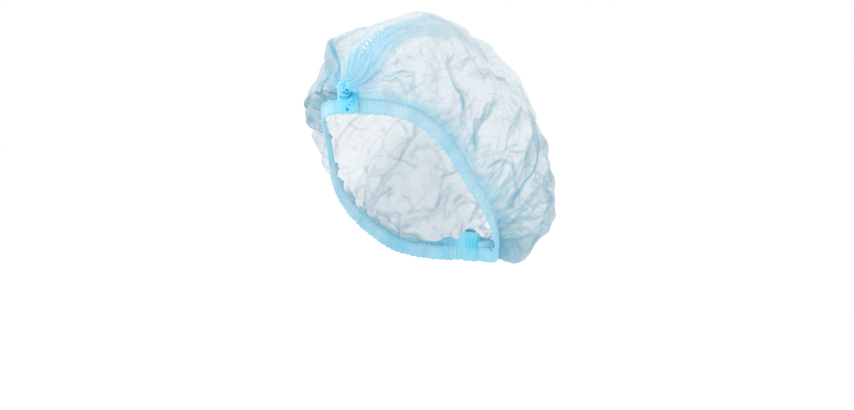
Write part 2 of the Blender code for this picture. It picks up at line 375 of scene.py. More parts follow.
def grid_normals(points):
    """The direction out of the sheet at each point of a grid."""
    return unit(np.cross(np.gradient(points, axis=0), np.gradient(points, axis=1)))


# %% Curves that shape folds


def ramp(value, start, end):
    """0 before start, 1 after end, and smooth between them. start may be the larger."""
    t = np.clip((value - start) / (end - start), 0, 1)
    return t * t * (3 - 2 * t)


def bell(distance, radius):
    """1 at distance 0, and a smooth bell round it."""
    return np.exp(-((distance / radius) ** 2))


def fading(distance, reach, start=0):
    """1 up to start, and ever less beyond it."""
    return np.exp(-np.maximum(distance - start, 0) / reach)


def wave(phase):
    """A fold's outline along a row of folds, sharper than a sine."""
    return np.sin(phase + 0.45 * np.sin(phase))


def squared(values, power):
    """A sine or cosine whose round tops are made squarer by a power below 1."""
    return np.sign(values) * np.abs(values) ** power


def soft_noise(seed, count, reach):
    """Smooth noise along a line, from -1 to 1. reach is how far it stays alike, in samples."""
    values = np.random.default_rng(seed).standard_normal(count + 8 * reach)
    kernel = np.hanning(2 * reach + 3)
    values = np.convolve(values, kernel / kernel.sum(), "same")[4 * reach : 4 * reach + count]
    return values / np.abs(values).max()


def away_from(crown, station, rise):
    """How far each point of a crown's grid is from one place on it, in mm."""
    return np.linalg.norm(crown.points - crown_point(station, rise), axis=2) * 1000


# %% [markdown]
# The relaxation is a small cloth solver. Each thread has a length that it keeps, each point is held
# loosely to where it should be, and a little smoothing stands for the cloth's stiffness. Threads
# that are longer than the way between their points make the sheet buckle into folds, as real
# gathered cloth does. It runs three times, each on a grid twice as fine, so that large folds form
# first and small ones ride on them.

# %% Cloth relaxation


def keep_lengths(points, axis, rest):
    """Moves each pair of neighbours along an axis towards its thread's length."""
    moved, rest = np.moveaxis(points, axis, 0), np.moveaxis(rest, axis, 0)
    for first in (0, 1):
        near, far = moved[first:-1:2], moved[first + 1 :: 2]
        apart = far - near
        length = np.sqrt(np.einsum("...i,...i", apart, apart)) + 1e-9
        apart *= (0.5 * (1 - rest[first::2] / length))[..., None]
        near += apart
        far -= apart


def smoothing(points):
    """How far each point inside the grid is from the middle of its four neighbours."""
    change = np.zeros_like(points)
    change[1:-1, 1:-1] = (
        points[2:, 1:-1] + points[:-2, 1:-1] + points[1:-1, 2:] + points[1:-1, :-2]
    ) / 4 - points[1:-1, 1:-1]
    return change


def relax(points, target, extra_along, extra_across, hold, stiffness, sweeps):
    """Lets the sheet buckle. The extras are the threads' lengths over those of the target."""
    rest_along = np.linalg.norm(np.diff(target, axis=0), axis=2)
    rest_across = np.linalg.norm(np.diff(target, axis=1), axis=2)
    rest_along *= (extra_along[1:] + extra_along[:-1]) / 2
    rest_across *= (extra_across[:, 1:] + extra_across[:, :-1]) / 2
    points = points.copy()
    for _ in range(sweeps):
        keep_lengths(points, 0, rest_along)
        keep_lengths(points, 1, rest_across)
        points -= stiffness * smoothing(smoothing(points))
        points += hold * (target - points)
        points[:, :HEM_ROWS], points[:, -HEM_ROWS:] = target[:, :HEM_ROWS], target[:, -HEM_ROWS:]
        points[0], points[-1] = target[0], target[-1]
    return points


def refined(field):
    """A grid twice as fine, with the new points midway."""
    for axis in (0, 1):
        moved = np.moveaxis(field, axis, 0)
        finer = np.empty((2 * len(moved) - 1, *moved.shape[1:]))
        finer[::2], finer[1::2] = moved, (moved[1:] + moved[:-1]) / 2
        field = np.moveaxis(finer, 0, axis)
    return field


# %% [markdown]
# Three measures say where on the crown a point is: how far it is from the headband along its arch,
# how far from the nearer tab, and whether it lies on the crest. The crest is where the cap's pleats
# were never pulled open. It runs from the front tab up along the ridge.

# %% Places on the crown
CREST = [
    # station, left-hand rise in the photograph, right-hand rise
    (0.00, -0.22, 0.97),
    (0.03, -0.21, 0.84),
    (0.06, -0.19, 0.67),
    (0.08, -0.12, 0.54),
    (0.10, -0.02, 0.46),
    (0.13, 0.06, 0.41),
    (0.18, 0.12, 0.41),
    (0.23, 0.14, 0.42),
    (0.30, 0.20, 0.44),
    (0.38, 0.28, 0.47),
]
CREST_END = 0.38
# Where across the crest each of its edges starts and has its full strength, and the same along it
CREST_EDGES, CREST_FADE = ((-0.06, 0.08), (1.20, 0.70)), (CREST_END + 0.06, 0.14)
crest_left, crest_right = smooth_curve(CREST, 1), smooth_curve(CREST, 2)


class Crown:
    """A grid over the smooth crown, with its measures in millimetres."""

    def __init__(self, columns, rows):
        self.station = np.broadcast_to(np.linspace(0, 1, columns)[:, None], (columns, rows))
        self.rise = np.broadcast_to(np.linspace(1, -1, rows)[None, :], (columns, rows))
        self.points = crown_point(self.station, self.rise)
        self.normals = grid_normals(self.points)
        across = np.linalg.norm(np.diff(self.points, axis=1), axis=2) * 1000
        way = np.concatenate((np.zeros((columns, 1)), across.cumsum(1)), 1)
        self.arch = way[:, -1:]
        self.from_band = np.minimum(way, self.arch - way)
        tabs = [np.linalg.norm(self.points - tab_centre(rear), axis=2) for rear in (False, True)]
        self.from_front, self.from_rear = tabs[0] * 1000, tabs[1] * 1000
        self.from_tab = np.minimum(self.from_front, self.from_rear)
        left, right = crest_left(self.station), crest_right(self.station)
        place = (self.rise - left) / (right - left)
        edge = ramp(place, *CREST_EDGES[0]) * ramp(place, *CREST_EDGES[1])
        self.crest = edge * ramp(self.station, *CREST_FADE)


HEM_ROWS = 1
COLUMNS, ROWS = 83, 73
coarse, middle, fine = (Crown(n * (COLUMNS - 1) + 1, n * (ROWS - 1) + 1) for n in (1, 2, 4))
print("fine grid:", fine.points.shape[:2], "ridge arch:", round(float(fine.arch.max())), "mm")

# %% [markdown]
# The named creases are read off the photograph. Each is a line of stations and rises on the crown,
# along which the cloth is tucked under itself and lies in more layers. A crease adds only to the
# layers: where the cloth stands out or dips, the relaxation and the gathers have moved it. The
# widest, at the back, is also widened into a painted shadow.

# %% Creases
CREASES = [
    # width mm, layers, then the route's stations and rises in thousandths
    # The two that run down from the end of the crest to the front half of the headband
    (2.0, 0.9, (221, 225, 225, 234, 258, 273, 268), (450, 550, 650, 750, 790, 850, 920)),
    (1.8, 0.5, (246, 226, 233, 242), (550, 630, 700, 770)),
    (1.6, 0.4, (214, 219, 230, 229), (950, 890, 830, 770)),
    (1.6, 0.4, (256, 270, 262), (950, 840, 800)),
    # The long one from the back down to the headband at the side
    (2.2, 1.2, (400, 368, 340, 318, 321, 338), (620, 700, 780, 850, 910, 960)),
    (1.8, 0.5, (244, 275, 308, 330), (870, 910, 920, 940)),
    (1.9, 0.6, (487, 467, 450, 436, 418), (580, 690, 780, 840, 930)),
    (1.6, 0.4, (380, 425, 470, 520, 560), (440, 520, 580, 620, 660)),
    # The widest, which divides the side from the pouch behind, and the short ones before its foot
    # These two draw the back fold: the fold is real, and its wide grey-blue band is a painted
    # shadow.
    (4.2, 1.2, (556, 571, 577, 571, 568, 577, 604), (520, 640, 730, 800, 870, 920, 960)),
    (7.0, 0.95, (522, 542, 551, 547, 548, 580), (400, 560, 700, 800, 880, 970)),
    (2.0, 0.5, (500, 508, 530, 550), (950, 880, 790, 700)),
    (1.6, 0.7, (560, 535, 518, 520), (970, 940, 900, 850)),
    (1.4, 0.6, (540, 520, 500, 490), (975, 950, 920, 880)),
    (1.5, 0.5, (471, 470, 465, 470), (975, 930, 890, 850)),
    # From the headband at the side, and along it
    (2.2, 0.7, (398, 425, 470, 505), (955, 900, 870, 860)),
    (1.8, 0.6, (396, 446, 500, 558), (980, 970, 965, 960)),
    # In the pouch at the back, where most of them meet in one point
    (1.8, 0.8, (642, 630, 625, 640), (790, 840, 900, 940)),
    (1.7, 0.8, (642, 675, 710, 750), (790, 750, 710, 660)),
    (1.6, 0.7, (645, 612, 596, 600), (790, 770, 720, 620)),
    (1.7, 0.7, (671, 672, 660, 642), (560, 660, 730, 790)),
    (1.8, 0.8, (754, 760, 742, 750), (620, 740, 840, 900)),
    (1.6, 0.7, (633, 680, 704, 717), (940, 905, 850, 770)),
    (1.7, 0.7, (679, 730, 770, 815), (950, 925, 900, 860)),
    (1.6, 0.6, (604, 708, 800, 870), (965, 955, 950, 940)),
    (1.6, 0.6, (660, 690, 700, 705), (970, 900, 800, 700)),
    # Small sharp ones beside the crest
    (1.0, 1.0, (56, 90, 118, 130), (660, 710, 715, 730)),
    (1.0, 1.0, (124, 119, 120, 126), (720, 800, 880, 960)),
    (0.9, 0.8, (88, 102, 110), (760, 850, 930)),
    (0.9, 0.8, (44, 70, 96), (720, 770, 770)),
    # From the notch behind the crest
    (2.4, 0.5, (262, 325, 392, 440), (660, 600, 545, 560)),
    (2.0, 0.6, (254, 279, 306, 300, 270), (660, 580, 490, 420, 330)),
    (2.0, 0.6, (250, 271, 294, 310, 338), (180, 240, 320, 390, 460)),
    # On the wearer's right, the first along the crest's side of the front tab
    (2.0, 1.3, (8, 33, 87, 130), (-600, -380, -340, -330)),
    (1.8, 1.0, (30, 50, 85, 120), (-500, -620, -740, -820)),
    (1.8, 0.9, (100, 85, 110, 160), (-480, -560, -660, -720)),
    (1.8, 0.9, (71, 90, 130, 200), (-970, -900, -840, -820)),
    (1.8, 0.9, (180, 230, 300, 360), (-960, -880, -800, -780)),
    (1.8, 0.5, (140, 128, 112, 90), (-60, -150, -260, -340)),
    (1.8, 0.5, (112, 96, 58, 30), (-420, -340, -250, -220)),
    (1.6, 0.5, (115, 85, 50, 18), (-560, -460, -360, -280)),
    (1.6, 0.5, (140, 100, 50, 12), (-950, -800, -620, -450)),
    (2.2, 0.35, (300, 310, 330, 330), (-360, -550, -720, -920)),
    (2.2, 0.35, (460, 480, 455, 430), (-300, -500, -700, -940)),
    (2.6, 0.45, (600, 640, 650, 640), (-400, -600, -800, -960)),
    (2.0, 0.35, (760, 790, 770, 740), (-420, -620, -820, -940)),
]

# %% One crease
CREASE_SAMPLES, CREASE_REACH = 48, 3.0
# How dense a crease is, over what share of its width, and the share of its length over which it
# fades at each end
CREASE_INK, INK_WIDTH, CREASE_FADE = 1.6, 0.85, 0.22


def add_crease(crown, layers, width, extra, route):
    """Adds one crease to the crown's layers."""
    table = [(k, *pair) for k, pair in enumerate(route)]
    at = np.linspace(0, len(route) - 1, CREASE_SAMPLES)
    line = crown_point(smooth_curve(table, 1)(at), smooth_curve(table, 2)(at))
    reach = CREASE_REACH * width / 1000
    flat = crown.points.reshape(-1, 3)
    near = np.flatnonzero(((flat > line.min(0) - reach) & (flat < line.max(0) + reach)).all(1))
    if not len(near):
        return
    # The nearest place on the line to each point
    place, step = flat[near][:, None], np.diff(line, axis=0)[None]
    t = ((place - line[:-1]) * step).sum(2) / ((step**2).sum(2) + 1e-12)
    t = np.clip(t, 0, 1)
    off = place - (line[:-1] + step * t[..., None])
    distance = np.linalg.norm(off, axis=2)
    nearest = distance.argmin(1)
    rows = np.arange(len(near))
    keep = distance[rows, nearest] < reach
    near, nearest, rows = near[keep], nearest[keep], rows[keep]
    off, t = off[rows, nearest], t[rows, nearest]
    # How far each point is to the side of the line, in widths of the crease, and how far along it
    normal = crown.normals.reshape(-1, 3)[near]
    across = unit(np.cross(normal, unit(step[0][nearest])))
    signed = (off * across).sum(1) * 1000 / width
    along = (nearest + t) / (CREASE_SAMPLES - 1)
    fade = ramp(along, 0, CREASE_FADE) * ramp(along, 1, 1 - CREASE_FADE)
    layers.reshape(-1)[near] += CREASE_INK * extra * bell(signed, INK_WIDTH) * fade


# %% [markdown]
# Between the named creases the cloth is crumpled all over from having been packed flat. These
# small creases are placed by chance, always the same chance. Near the headband they run away from
# it, near the tabs they run away from those, and elsewhere they run any way.

# %% Crumples
CRUMPLES, CRUMPLE_SEED, CRUMPLE_STEPS = 600, 11, 6
# Some begin in the pouch, and some at the headband.
IN_POUCH, POUCH_STATIONS, FROM_BAND, HEM_RISES = 0.30, (0.57, 0.95), 0.30, (0.90, 0.97)
ANY_STATION, ANY_RISE, CRUMPLE_MM, CRUMPLE_BEND = (0.03, 0.97), (-0.97, 0.97), (9, 46), (-0.7, 0.7)
# Over these distances in mm the headband and the tabs turn them.
BAND_TURNS, TAB_TURNS = 22, 30
# Small steps that measure how long a station and a rise are there
STATION_STEP, RISE_STEP = 0.004, 0.005
chance = random.Random(CRUMPLE_SEED)


def crumple_route():
    """A short, slightly curved line on the crown, as stations and rises."""
    station, rise = chance.uniform(*ANY_STATION), chance.uniform(*ANY_RISE)
    if chance.random() < IN_POUCH:
        station = chance.uniform(*POUCH_STATIONS)
    if chance.random() < FROM_BAND:
        rise = math.copysign(chance.uniform(*HEM_RISES), rise)
    length, bend = chance.uniform(*CRUMPLE_MM), chance.uniform(*CRUMPLE_BEND)
    here = crown_point(station, rise)
    along = np.linalg.norm(crown_point(station + STATION_STEP, rise) - here) / STATION_STEP * 1000
    across = np.linalg.norm(crown_point(station, rise * (1 - RISE_STEP)) - here)
    across = across / abs(rise * RISE_STEP) * 1000
    near_band = math.exp(-(1 - abs(rise)) * across / BAND_TURNS)
    near_tab = math.exp(-min(station, 1 - station) * along / TAB_TURNS)
    heading = chance.uniform(0, math.pi)
    heading += near_band * (math.pi / 2 - heading)
    heading += near_tab * ((0 if heading < math.pi / 2 else math.pi) - heading)
    route = []
    for k in range(CRUMPLE_STEPS):
        route.append((min(max(station, 0.01), 0.99), min(max(rise, -0.99), 0.99)))
        turn = heading + bend * (k / CRUMPLE_STEPS - 0.5)
        station += math.cos(turn) * length / CRUMPLE_STEPS / along
        rise += math.sin(turn) * length / CRUMPLE_STEPS / across
    return route


# %% [markdown]
# Now the crown is built up. The coarse and middle grids buckle first. The fine grid then takes
# their folds, the pleats that fan out from the tabs, and the fine gathers beside the headband, and
# relaxes once more. The creases and crumples go into its layers.

# %% Large folds
RELAXATIONS = {
    # extra thread, gather, pleat, bump mm, hold, stiffness, sweeps
    "coarse": (0.095, 0.08, 0.08, 2.5, 0.005, 0.10, 400),
    "middle": (0.030, 0.08, 0.08, 0.4, 0.008, 0.10, 240),
    "fine": (0.003, 0.05, 0.03, 0.03, 0.02, 0.14, 60),
}
BULGES = [
    # station, rise, radius mm, height mm
    # The flap that stands up beside the crest on the wearer's right, and the dip between them
    (0.135, -0.26, 20, 4.0),
    (0.115, -0.34, 11, 7.0),
    (0.125, -0.66, 20, -9.0),
    (0.405, 0.34, 16, -8.0),
    # Loose places in the pouch
    (0.690, 0.80, 16, 3.0),
    (0.620, 0.55, 20, -3.0),
    # The ruffle under the pouch, and the notch between them
    (0.875, 0.89, 10, 8.5),
    (0.905, 0.95, 9, 8.0),
    (0.822, 0.88, 9, -10.0),
    (0.850, 0.70, 16, -6.0),
]
BUMP_SEED, BUMP_SPREAD, DRAWN_IN, UNEVEN = 3, 1.2, 0.8, 0.7
# Spare cloth across the cap for each bit along it, and how much less of it the crest and ridge have
EXTRA_ACROSS, LESS_ON_CREST, LESS_ON_RIDGE, RIDGE_HALF = 0.45, 0.75, 0.65, 0.35


def buckled(crown, start, extra, gather, pleat, bump, hold, stiffness, sweeps):
    """One relaxation of the crown on one grid, begun with small bumps for it to buckle from."""
    rough = np.random.default_rng(BUMP_SEED).standard_normal(crown.station.shape)
    for _ in range(2):
        rough += smoothing(rough[..., None])[..., 0] * BUMP_SPREAD
    inside = ramp(crown.from_band, 0, 6) * ramp(crown.from_tab, 14, 22)
    inside = inside * (1 - LESS_ON_CREST * crown.crest)
    begin = start + crown.normals * (bump / 1000 * rough * inside)[..., None]
    # The spare cloth is spread unevenly, in patches that two mixed waves give.
    uneven = UNEVEN * np.sin(23 * crown.station + 3 * np.sin(5 * crown.rise))
    uneven = 1 + uneven * np.cos(7 * crown.rise + 2 * np.sin(11 * crown.station))
    spare = extra * uneven * (1 - LESS_ON_RIDGE * bell(crown.rise, RIDGE_HALF))
    along = 1 + inside * (spare + gather * fading(crown.from_band, 16))
    across = 1 + inside * (EXTRA_ACROSS * spare + pleat * fading(crown.from_tab, 30, 14))
    return relax(begin, start, along, across, hold, stiffness, sweeps)


drawn = -ramp(coarse.from_band, 2, 30) * ramp(coarse.from_tab, 20, 60) * DRAWN_IN
for station, rise, radius, height in BULGES:
    drawn += height * bell(away_from(coarse, station, rise), radius)
start = coarse.points + coarse.normals * (drawn / 1000)[..., None]
moved = buckled(coarse, start, *RELAXATIONS["coarse"]) - coarse.points
start = middle.points + refined(moved)
moved = buckled(middle, start, *RELAXATIONS["middle"]) - middle.points
print("largest fold:", round(float(np.linalg.norm(moved, axis=2).max()) * 1000, 1), "mm")

# %% Creases and crumples
# Finer creases run beside each named one, and part from it here and there.
COMPANIONS, STRAY_STATION, STRAY_RISE = 3, 0.009, 0.014
# Shares of the table's width and layers that a crease has, and a companion
CREASE_WIDTH, CREASE_LAYERS, COMPANION_WIDTH, COMPANION_LAYERS = 0.85, 0.75, 0.45, 0.85
COMPANION_WIDEST = 1.2
CRUMPLE_WIDTHS, CRUMPLE_TUCKS, CRUMPLE_LAYERS = (0.9, 1.6), (0.4, 0.8, 1.4, 2.2), 0.16
MORE_IN_POUCH, POUCH_BEGINS = 0.9, (0.56, 0.62)

move, layers = refined(moved), np.zeros(fine.station.shape)
for width, extra, stations, rises in CREASES:
    route = [(s / 1000, r / 1000) for s, r in zip(stations, rises)]
    add_crease(fine, layers, CREASE_WIDTH * width, CREASE_LAYERS * extra, route)
    slim = min(COMPANION_WIDTH * width, COMPANION_WIDEST)
    for _ in range(COMPANIONS):
        stray = [
            (s + chance.gauss(0, STRAY_STATION), r + chance.gauss(0, STRAY_RISE)) for s, r in route
        ]
        add_crease(fine, layers, slim, COMPANION_LAYERS * extra, stray)
for _ in range(CRUMPLES):
    width, tuck = chance.uniform(*CRUMPLE_WIDTHS), chance.choice(CRUMPLE_TUCKS)
    # Nothing uses these two draws. They keep the ones after them in their order.
    chance.uniform(0.3, 0.9), chance.choice((-1, 1))
    route = crumple_route()
    extra = CRUMPLE_LAYERS + CRUMPLE_LAYERS * tuck
    extra = extra * (1 + MORE_IN_POUCH * ramp(route[0][0], *POUCH_BEGINS))
    add_crease(fine, layers, width, extra, route)
print("creases:", len(CREASES), "and", COMPANIONS * len(CREASES) + CRUMPLES, "small ones")

# %% Gathers, pleats and the last relaxation
GATHER_PITCH, GATHER_HEIGHT, GATHER_REACH = 4.4, 1.1, 9.0
PLEATS, PLEAT_HEIGHT, PLEAT_REACH = 11, 1.1, 34.0
DRIFT_SEED, DRIFT_SIZE, DRIFT_IN_PHASE = 8, 0.16, 1.5
HEM_SINK_MM, CLOTH_SINK_MM, HEM_DRAWN_IN = 0.2, 6.0, 0.003

hem_mm = way_along(fine.points[:, 0])[:, None] * 1000
# The rows of folds drift to and fro, so that none is straight.
drift = np.random.default_rng(DRIFT_SEED).standard_normal(fine.station.shape).cumsum(0)
drift *= DRIFT_SIZE
for _ in range(6):
    drift += smoothing(drift[..., None])[..., 0]
drift -= np.linspace(0, 1, len(drift))[:, None] * (drift[-1:] - drift[:1])
gathers = wave(2 * math.pi * hem_mm / GATHER_PITCH + drift * DRIFT_IN_PHASE)
gathers *= GATHER_HEIGHT * fading(fine.from_band, GATHER_REACH) * ramp(fine.from_tab, 8, 20)
pleats = wave(2 * math.pi * PLEATS * fine.rise + DRIFT_IN_PHASE * drift)
pleats *= PLEAT_HEIGHT * np.exp((12 - fine.from_tab) / PLEAT_REACH) * ramp(fine.from_tab, 10, 20)
pleats *= ramp(fine.from_band, 0, 8)
swell_mm = (gathers + pleats) * ramp(fine.from_band, -1.0, 3.0)
move += fine.normals * (swell_mm / 1000)[..., None]
crown_points = buckled(fine, fine.points + move, *RELAXATIONS["fine"])
# Beside the tabs the hem is drawn in, so that its ends disappear into them.
inwards = HEM_DRAWN_IN * (ramp(fine.station, 0.03, 0) + ramp(fine.station, 0.97, 1))
inwards *= ramp(np.abs(crown_points[..., 0]), 0.005, 0.010)
crown_points[..., 0] -= np.sign(crown_points[..., 0]) * inwards
# No fold at the hem comes through the headband to its inner face.
sunk = ((fine.points - crown_points) * fine.normals).sum(2)
allowed = (HEM_SINK_MM + CLOTH_SINK_MM * ramp(fine.from_band, 1, 12)) / 1000
crown_points += fine.normals * np.maximum(sunk - allowed, 0)[..., None]
sides = np.diff(crown_points, axis=0)[:, 1:], np.diff(crown_points, axis=1)[1:]
print("cloth area:", round(np.linalg.norm(np.cross(*sides), axis=2).sum(), 4), "square metres")

# %% Layers
BEND_SEEN, BEND_FULL = 0.10, 0.32
# Layers that lie pressed together in each place, besides the one of the open cloth
IN_BENDS, AT_HEM, BY_BAND, IN_GATHERS, IN_PLEATS = 1.3, 1.2, 1.6, 0.5, 0.5
BY_TAB, ON_CREST, HANGING_DOUBLE, BESIDE_CREST, FRONT_RIGHT = 2.0, 1.7, 0.9, 0.5, 1.3
REAR_GATHERS, BY_REAR_TAB, REAR_TAB_BLUE = 1.2, 4.0, 0.8
PATCHES = [
    # station, rise, radius mm, layers: where the cloth lies single or doubled beside the front tab
    (0.040, -0.84, 7, -2.4),
    (0.075, -0.58, 9, 0.7),
    (0.120, -0.93, 7, -1.2),
    (0.150, -0.45, 9, -1.0),
    (0.210, -0.90, 12, 0.8),
    # and the same in the pouch
    (0.640, 0.66, 10, -0.8),
    (0.700, 0.84, 9, -0.9),
    (0.655, 0.93, 6, -0.8),
    (0.800, 0.80, 12, 0.8),
]

bend = np.linalg.norm(smoothing(crown_points), axis=2) * 1000
for _ in range(2):
    bend += smoothing(bend[..., None])[..., 0]
print("bend in mm, half and nine tenths:", np.quantile(bend, (0.5, 0.9)).round(3))
layers += IN_BENDS * ramp(bend, BEND_SEEN, BEND_FULL)
layers += AT_HEM * fading(fine.from_band, 2.5) + BY_BAND * fading(fine.from_band, 8)
in_gathers = IN_GATHERS * gathers / GATHER_HEIGHT * fading(fine.from_band, 30)
layers += in_gathers + IN_PLEATS * pleats / PLEAT_HEIGHT
layers += BY_TAB * fading(fine.from_tab, 9, 10)
layers += ON_CREST * fine.crest
# The pouch hangs double, and so does the cloth beside the crest on the wearer's right.
layers += HANGING_DOUBLE * ramp(fine.station, 0.54, 0.66) * ramp(np.abs(fine.rise), 0.25, 0.5)
layers += BESIDE_CREST * ramp(fine.station, 0.30, 0.16) * ramp(fine.rise, -0.2, -0.4)
layers += FRONT_RIGHT * ramp(fine.from_front, 85, 45) * ramp(fine.rise, -0.25, -0.50)
for station, rise, radius, extra in PATCHES:
    layers += extra * bell(away_from(fine, station, rise), radius)
# Towards the rear tab the gathers stay close for some way up from the headband.
layers += REAR_GATHERS * fading(fine.from_band, 12) * ramp(fine.station, 0.52, 0.70)
at_rear_tab = fading(fine.from_tab, 12, 14) * ramp(fine.station, 0.5, 0.8)
layers += BY_REAR_TAB * at_rear_tab

# Beside the front half of the headband and at the tabs the gathers are pressed flat and shine
# through in a clearer blue.
gathered = ramp(fine.station, 0.66, 0.50) * fading(fine.from_band, 10)
gathered = (gathered + fading(fine.from_front, 12, 10)) * ramp(fine.rise, -0.9, -0.2)
gathered = np.minimum(gathered + REAR_TAB_BLUE * at_rear_tab, 1)

# %% Crown cloth
FLAT_WIDTH, FLAT_LENGTH = 0.41, 0.41
flat = joined(fine.station * FLAT_WIDTH, fine.rise * FLAT_LENGTH / 2)
crown = grid_object("crown_cloth", crown_points, layers, flat, gathered=gathered)
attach(crown, "root")
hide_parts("crown")

# %% [markdown]
# The material is one sheet of spun-bonded polypropylene. Each layer lets most of the light through.
# More layers are both less clear and bluer. On top of that come the cloudy unevenness of the
# fibres, their grain, and the fine cracks that packing pressed into them.

# %% Cloth material
GATHERED_BLUE = "#A3E2F8"
# Two families of fine cracks: turn, stretch, scale, strength
CRACKS = ((0.15, 0.28, 50.0, 1.0), (-0.9, 0.40, 36.0, 0.8))
CRACK_WIDTH, CRACK_LAYERS, CLOUD_LAYERS, FIBRE_LAYERS = 0.016, 0.55, 0.15, 0.04
# The most layers that the colours tell apart, and the shares of them for the middle two colours
MOST_LAYERS, FOLDED_AT, THICK_AT = 7.0, 0.20, 0.48


def calc(tree, operation, *parts, clamp=False):
    """A sum or another piece of arithmetic on numbers, sockets and nodes."""
    inputs = {f"i{k}": part for k, part in enumerate(parts)}
    return add(tree, "ShaderNodeMath", {"operation": operation, "use_clamp": clamp}, **inputs)


def rescaled(tree, value, start, end, low, high, kind="LINEAR"):
    """The value, carried from the range start to end over to the range low to high."""
    node = add(tree, "ShaderNodeMapRange", {"interpolation_type": kind}, Value=value)
    return feed(node, From_Min=start, From_Max=end, To_Min=low, To_Max=high)


def cloth_material(name, clear, colours, crackle):
    """Spun-bonded cloth. clear is how much light one layer lets through. The four colours are for
    one layer, for a fold, for several layers and for the most."""
    material, shader = new_material(name)
    material.surface_render_method = "DITHERED"
    tree = material.node_tree
    count = add(tree, "ShaderNodeAttribute", {"attribute_name": "layers"}).outputs["Fac"]
    uv = add(tree, "ShaderNodeUVMap", {"uv_map": "cloth_metres"})
    place = add(tree, "ShaderNodeTexCoord").outputs["Object"]
    cloudy = add(tree, "ShaderNodeTexNoise", Vector=place, Scale=55.0, Detail=3.0, Roughness=0.6)
    # A crack is where a stretched noise crosses its middle.
    cracks = []
    for turn, stretch, scale, strength in CRACKS:
        turned = add(tree, "ShaderNodeMapping", Vector=uv, Rotation=(0, 0, turn))
        feed(turned, Scale=(1, stretch, 1))
        noise = add(tree, "ShaderNodeTexNoise", Vector=turned, Scale=scale, Detail=1.5)
        feed(noise, Roughness=0.45, Distortion=0.6)
        off = calc(tree, "ABSOLUTE", calc(tree, "SUBTRACT", noise, 0.5))
        cracks.append(rescaled(tree, off, 0.0, CRACK_WIDTH, strength, 0.0, "SMOOTHSTEP"))
    crack = calc(tree, "MAXIMUM", *cracks)
    fibres = add(tree, "ShaderNodeTexNoise", Vector=uv, Scale=1600.0, Detail=2.0)
    total = calc(tree, "MULTIPLY_ADD", crack, CRACK_LAYERS * crackle, count)
    for noise, most in ((cloudy, CLOUD_LAYERS), (fibres, FIBRE_LAYERS)):
        total = calc(tree, "ADD", total, rescaled(tree, noise, 0.3, 0.7, -most, most))
    total = calc(tree, "ADD", total, 1.0)
    solid = calc(tree, "SUBTRACT", 1.0, calc(tree, "POWER", clear, total), clamp=True)
    share = rescaled(tree, total, 1.0, MOST_LAYERS, 0.0, 1.0)
    tint = add(tree, "ShaderNodeValToRGB", Fac=share)
    single, folded, thick, deep = (linear(colour) for colour in colours)
    stops = tint.color_ramp.elements
    stops[0].color, stops[1].color = single, deep
    stops.new(FOLDED_AT).color = folded
    stops.new(THICK_AT).color = thick
    clearer = add(tree, "ShaderNodeAttribute", {"attribute_name": "gathered"}).outputs["Fac"]
    mix = add(tree, "ShaderNodeMix", {"data_type": "RGBA"}, i0=clearer, i6=tint)
    feed(mix, i7=linear(GATHERED_BLUE))
    bump = add(tree, "ShaderNodeBump", Strength=0.2, Distance=0.0004, Height=crack)
    feed(shader, Base_Color=mix.outputs[2], Alpha=solid, Normal=bump, Roughness=0.55, IOR=1.49)
    feed(shader, Specular_IOR_Level=0.35, Sheen_Weight=0.15, Sheen_Roughness=0.5)
    return material


CROWN_COLOURS = "#D1DFE9", "#A2C1CE", "#86B9CC", "#4BA9CB"
crown.data.materials.append(
    cloth_material("spun_bonded_polypropylene", 0.70, CROWN_COLOURS, 1.3)
)

# %% [markdown]
# The headband is the same cloth folded over elastic, stitched by rolled bonds. The elastic draws
# the cloth together, so that it stands in small close pleats across the band. Each side is one
# closed ribbon. Its pleats come from a wave along the band whose pitch wanders a little.

# %% Headbands
BAND_COLUMNS, BAND_RING, BAND_TAPER_MM = 900, 22, 4
BAND_PLEAT_PITCH, BAND_PLEAT_DEPTH, BAND_PLEAT_SLANT, BAND_PITCH_WANDER = 2.5, 0.48, 0.7, 5
BAND_EDGE_RUFFLE, BAND_FLAT_LENGTH = 0.55, 0.44
# Cloth in the band for each bit of its length when worn
BAND_GATHER = 1.68
BAND_COLOURS = "#DCEFF9", "#CBEEFB", "#9CE1F7", "#4FC8EE"


